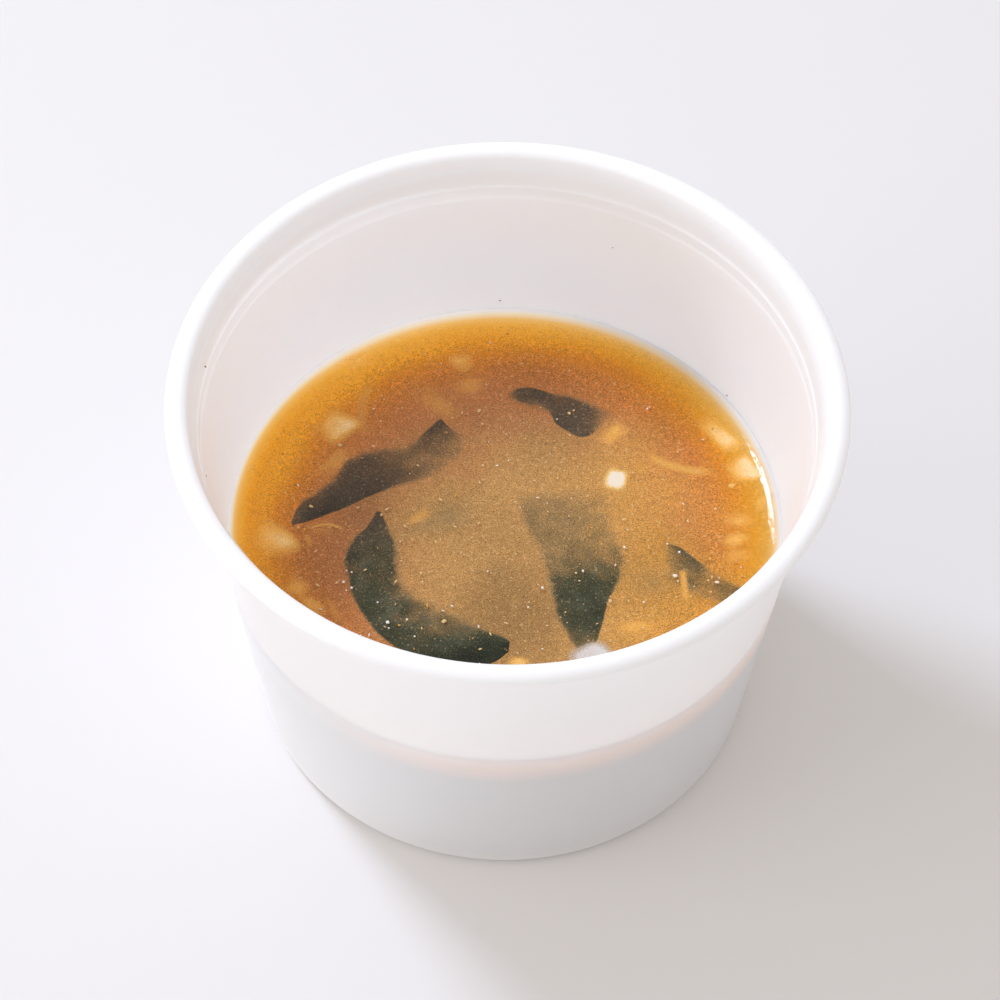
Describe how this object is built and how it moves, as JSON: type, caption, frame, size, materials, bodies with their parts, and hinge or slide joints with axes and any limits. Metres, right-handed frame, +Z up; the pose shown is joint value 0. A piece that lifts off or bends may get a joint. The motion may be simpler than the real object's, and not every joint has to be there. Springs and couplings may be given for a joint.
{
  "type": "miso soup",
  "caption": "Miso soup with wakame leaves and tofu pieces in a round tapered white takeaway cup with a rolled rim.",
  "frame": {"origin": "centre of the cup's base, on the plane that it stands on", "axes": "+Z up along the cup's axis, out of its mouth; +X to the right and +Y away from the usual viewer"},
  "size_m": [0.105, 0.105, 0.0704],
  "materials": {
    "cup_white": "satin",
    "miso_broth": "wet, cloudy",
    "wakame": "wet leaf",
    "tofu": "soft, moist"
  },
  "bodies": {
    "root": {"cup": "cup_white", "broth": "miso_broth", "wakame_left": "wakame", "wakame_front": "wakame", "wakame_middle": "wakame", "wakame_back": "wakame", "wakame_right": "wakame", "tofu_left": "tofu", "tofu_front": "tofu", "tofu_middle": "tofu", "tofu_right": "tofu"}
  },
  "joints": []
}
